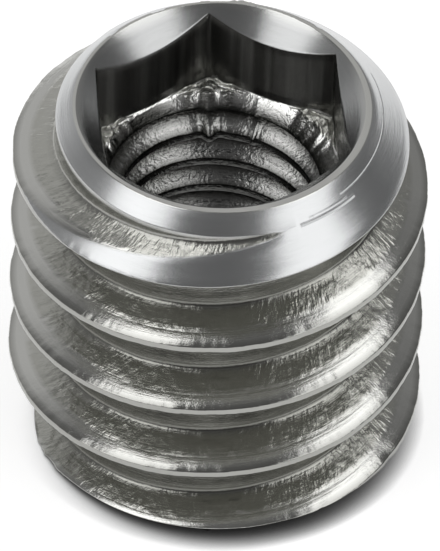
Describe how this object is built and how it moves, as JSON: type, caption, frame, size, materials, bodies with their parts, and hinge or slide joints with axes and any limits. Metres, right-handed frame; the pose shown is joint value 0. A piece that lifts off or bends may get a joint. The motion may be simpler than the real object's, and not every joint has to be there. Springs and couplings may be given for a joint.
{
  "type": "threaded insert",
  "caption": "Cylindrical steel threaded insert: coarse outside thread, hexagon socket in the top, metric thread right through.",
  "frame": {"origin": "centre of the flat bottom face, on the axis", "axes": "+Z along the axis towards the hexagon socket; -Y is the front; a hexagon corner points 37 degrees from +X"},
  "size_m": [0.014, 0.014, 0.0137],
  "materials": {
    "turned_steel": "turned and threaded, bright, with fine lathe lines"
  },
  "bodies": {
    "root": {"insert_body": "turned_steel"}
  },
  "joints": []
}
